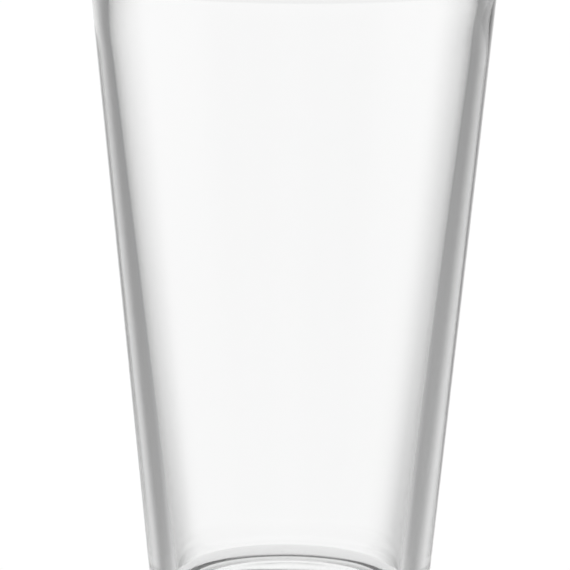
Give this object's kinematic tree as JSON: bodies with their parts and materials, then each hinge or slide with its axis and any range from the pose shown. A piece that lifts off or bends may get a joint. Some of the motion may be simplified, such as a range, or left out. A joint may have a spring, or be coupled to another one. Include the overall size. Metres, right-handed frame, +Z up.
{
  "type": "mixing glass",
  "caption": "Clear pressed pint mixing glass: straight tapered wall, fire-polished rounded rim and thick solid base with a shallow hollow underneath.",
  "frame": {"origin": "centre of the resting plane under the foot", "axes": "+Z up along the glass's axis, from the foot to the rim; the glass is round, so X and Y are free"},
  "size_m": [0.0888, 0.0888, 0.1492],
  "materials": {
    "glass": "clear soda-lime glass, pressed, with a fire-polished rim"
  },
  "bodies": {
    "root": {"base": "glass", "side_wall": "glass", "rim": "glass"}
  },
  "joints": []
}
